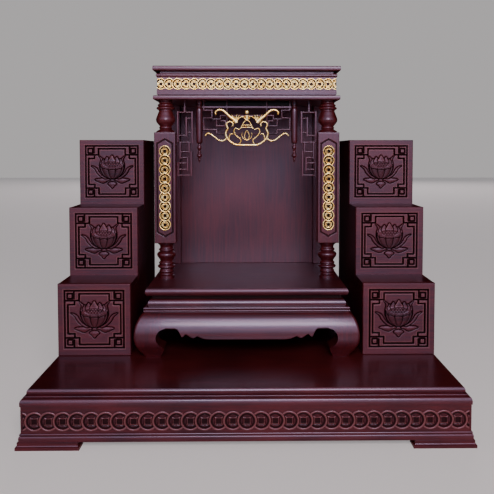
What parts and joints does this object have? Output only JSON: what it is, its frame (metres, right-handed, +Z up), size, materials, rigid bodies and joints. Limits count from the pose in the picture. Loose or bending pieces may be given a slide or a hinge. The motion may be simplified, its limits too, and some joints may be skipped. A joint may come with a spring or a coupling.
{
  "type": "household altar cabinet",
  "caption": "Household altar cabinet: a canopied shrine on a kneeling-foot table between stepped side blocks with lotus panels, on a low platform with a carved coin rail.",
  "frame": {"origin": "middle of the underside, on the surface the altar stands on", "axes": "+X to the viewer's right across the width, +Y from the open front towards the flat back, +Z up"},
  "size_m": [0.81, 0.61, 0.704],
  "materials": {
    "lacquered_wood": "dark red-brown stain under semi-gloss lacquer",
    "gilding": "gold paint on carved wood"
  },
  "bodies": {
    "root": {"back_panel": "lacquered_wood", "canopy_back_rail": "lacquered_wood", "canopy_front_rail": "lacquered_wood", "canopy_left_rail": "lacquered_wood", "canopy_lower_board": "lacquered_wood", "canopy_right_rail": "lacquered_wood", "canopy_top_board": "lacquered_wood", "column_left": "lacquered_wood", "column_right": "lacquered_wood", "hanging_post_left": "lacquered_wood", "hanging_post_right": "lacquered_wood", "platform_back_rail": "lacquered_wood", "platform_foot_back_left": "lacquered_wood", "platform_foot_back_right": "lacquered_wood", "platform_foot_front_left": "lacquered_wood", "platform_foot_front_right": "lacquered_wood", "platform_front_rail": "lacquered_wood", "platform_left_rail": "lacquered_wood", "platform_right_rail": "lacquered_wood", "platform_top": "lacquered_wood", "rear_post_left": "lacquered_wood", "rear_post_right": "lacquered_wood", "side_fret_left": "lacquered_wood", "side_fret_right": "lacquered_wood", "steps_left_back": "lacquered_wood", "steps_left_inner_side": "lacquered_wood", "steps_left_outer_side": "lacquered_wood", "steps_left_panel_bottom": "lacquered_wood", "steps_left_panel_middle": "lacquered_wood", "steps_left_panel_top": "lacquered_wood", "steps_left_tread_bottom": "lacquered_wood", "steps_left_tread_middle": "lacquered_wood", "steps_left_tread_top": "lacquered_wood", "steps_right_back": "lacquered_wood", "steps_right_inner_side": "lacquered_wood", "steps_right_outer_side": "lacquered_wood", "steps_right_panel_bottom": "lacquered_wood", "steps_right_panel_middle": "lacquered_wood", "steps_right_panel_top": "lacquered_wood", "steps_right_tread_bottom": "lacquered_wood", "steps_right_tread_middle": "lacquered_wood", "steps_right_tread_top": "lacquered_wood", "table_apron_back": "lacquered_wood", "table_apron_front": "lacquered_wood", "table_apron_left": "lacquered_wood", "table_apron_right": "lacquered_wood", "table_leg_back_left": "lacquered_wood", "table_leg_back_right": "lacquered_wood", "table_leg_front_left": "lacquered_wood", "table_leg_front_right": "lacquered_wood", "table_top": "lacquered_wood", "table_waist_back": "lacquered_wood", "table_waist_front": "lacquered_wood", "table_waist_left": "lacquered_wood", "table_waist_right": "lacquered_wood", "valance_lattice": "lacquered_wood", "valance_ornament": "gilding"}
  },
  "joints": []
}
